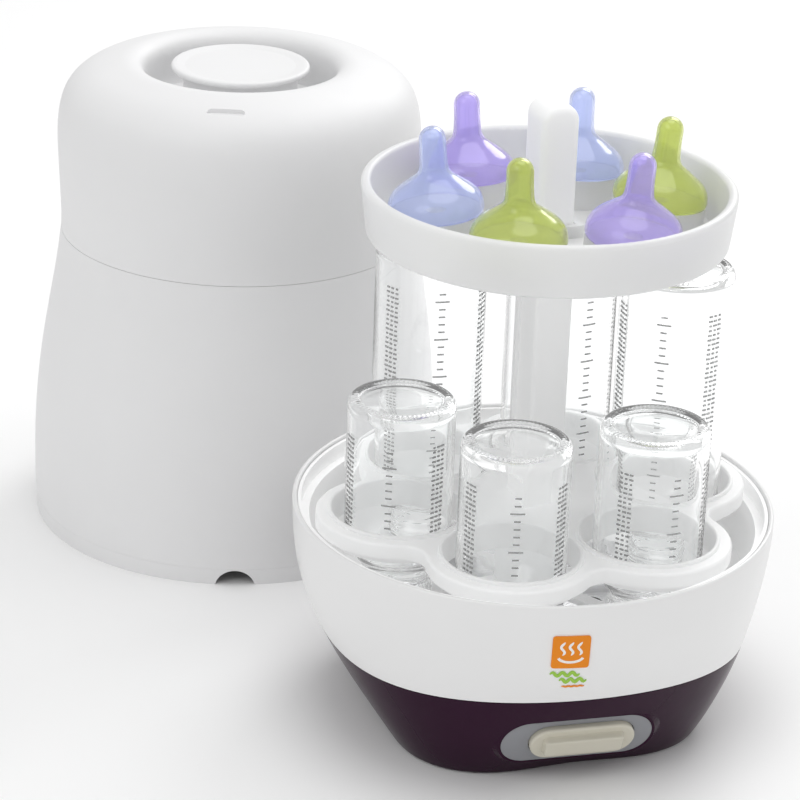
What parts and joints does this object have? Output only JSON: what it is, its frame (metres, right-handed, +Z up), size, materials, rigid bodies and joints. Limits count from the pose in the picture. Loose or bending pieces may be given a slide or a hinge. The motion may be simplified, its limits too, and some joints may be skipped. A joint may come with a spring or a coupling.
{
  "type": "bottle sterilizer",
  "caption": "Electric steam bottle sterilizer, open: lobed base with switch, clover rack with inverted bottles, tray of teats on a central handle, and domed cover beside it.",
  "frame": {"origin": "middle of the whole set's footprint, on the surface it stands on", "axes": "+Z up, -Y the way the base's switch faces, +X to the right seen from the switch"},
  "size_m": [0.356, 0.5176, 0.3335],
  "materials": {
    "white_gloss": "gloss",
    "aubergine": "gloss",
    "rubber": "matt",
    "steel": "brushed",
    "white_satin": "satin",
    "seal_rubber": "matt",
    "aluminium": "satin",
    "dark_plastic": "satin",
    "lens_grey": "gloss",
    "board_green": "satin",
    "lamp_red": "gloss",
    "cream": "gloss",
    "wire_sleeve": "satin",
    "badge_orange": "gloss",
    "cover_white": "satin",
    "milky_plastic": "satin",
    "clear_glass": "polished",
    "teat_green": "gloss",
    "teat_purple": "gloss",
    "teat_blue": "gloss"
  },
  "bodies": {
    "base": {"bowl_outer": "white_gloss", "lower_shell": "aubergine", "bottom_plate": "aubergine", "rubber_feet": "rubber", "bottom_screws": "steel", "bowl_liner": "white_satin", "plate_seal": "seal_rubber", "heating_plate": "steel", "heater_ring": "aluminium", "thermostat": "dark_plastic", "thermal_fuse": "dark_plastic", "heater_clamp": "aluminium", "clamp_studs": "steel", "sensor_cap": "dark_plastic", "panel_lens": "lens_grey", "switch_body": "dark_plastic", "indicator_board": "board_green", "indicator_lamps": "lamp_red", "terminal_block": "cream", "inner_wires": "wire_sleeve", "cord_gland": "rubber", "front_badge": "badge_orange"},
    "button": {"switch_button": "cream"},
    "cover": {"cover_lower": "cover_white", "cover_upper": "cover_white", "cover_knob": "milky_plastic", "knob_screws": "steel", "steam_valve": "milky_plastic"},
    "rack": {"petal_rack": "milky_plastic", "rack_post": "milky_plastic"},
    "tray": {"upper_tray": "milky_plastic"},
    "teat_body_1": {"teat_1": "teat_green"},
    "bottle_body_1": {"bottle_short_1": "clear_glass"},
    "teat_body_2": {"teat_2": "teat_purple"},
    "bottle_body_2": {"bottle_short_2": "clear_glass"},
    "teat_body_3": {"teat_3": "teat_green"},
    "bottle_body_3": {"bottle_tall_3": "clear_glass"},
    "teat_body_4": {"teat_4": "teat_blue"},
    "bottle_body_4": {"bottle_tall_4": "clear_glass"},
    "teat_body_5": {"teat_5": "teat_purple"},
    "bottle_body_5": {"bottle_tall_5": "clear_glass"},
    "teat_body_6": {"teat_6": "teat_blue"},
    "bottle_body_6": {"bottle_short_6": "clear_glass"}
  },
  "joints": [
    {"name": "cover_lift", "type": "slide", "parent": "base", "child": "cover", "axis": [0, 0, 1], "range_m": [0, 0.3]},
    {"name": "rack_lift", "type": "slide", "parent": "base", "child": "rack", "axis": [0, 0, 1], "range_m": [0, 0.25]},
    {"name": "tray_lift", "type": "slide", "parent": "rack", "child": "tray", "axis": [0, 0, 1], "range_m": [0, 0.1]},
    {"name": "switch_press", "type": "slide", "parent": "base", "child": "button", "axis": [0, 0.9397, 0.342], "range_m": [0, 0.0025], "stiffness_N_per_m": 900, "springref_m": -0.0015},
    {"name": "teat_lift_1", "type": "slide", "parent": "tray", "child": "teat_body_1", "axis": [-0.0444, -0.075, 0.9962], "range_m": [0, 0.05]},
    {"name": "bottle_lift_1", "type": "slide", "parent": "rack", "child": "bottle_body_1", "axis": [0, 0, 1], "range_m": [0, 0.06]},
    {"name": "teat_lift_2", "type": "slide", "parent": "tray", "child": "teat_body_2", "axis": [0.0428, -0.0759, 0.9962], "range_m": [0, 0.05]},
    {"name": "bottle_lift_2", "type": "slide", "parent": "rack", "child": "bottle_body_2", "axis": [0, 0, 1], "range_m": [0, 0.06]},
    {"name": "teat_lift_3", "type": "slide", "parent": "tray", "child": "teat_body_3", "axis": [0.0872, -0.0009, 0.9962], "range_m": [0, 0.05]},
    {"name": "bottle_lift_3", "type": "slide", "parent": "rack", "child": "bottle_body_3", "axis": [0, 0, 1], "range_m": [0, 0.018]},
    {"name": "teat_lift_4", "type": "slide", "parent": "tray", "child": "teat_body_4", "axis": [0.0444, 0.075, 0.9962], "range_m": [0, 0.05]},
    {"name": "bottle_lift_4", "type": "slide", "parent": "rack", "child": "bottle_body_4", "axis": [0, 0, 1], "range_m": [0, 0.018]},
    {"name": "teat_lift_5", "type": "slide", "parent": "tray", "child": "teat_body_5", "axis": [-0.0428, 0.0759, 0.9962], "range_m": [0, 0.05]},
    {"name": "bottle_lift_5", "type": "slide", "parent": "rack", "child": "bottle_body_5", "axis": [0, 0, 1], "range_m": [0, 0.018]},
    {"name": "teat_lift_6", "type": "slide", "parent": "tray", "child": "teat_body_6", "axis": [-0.0872, 0.0009, 0.9962], "range_m": [0, 0.05]},
    {"name": "bottle_lift_6", "type": "slide", "parent": "rack", "child": "bottle_body_6", "axis": [0, 0, 1], "range_m": [0, 0.06]}
  ]
}
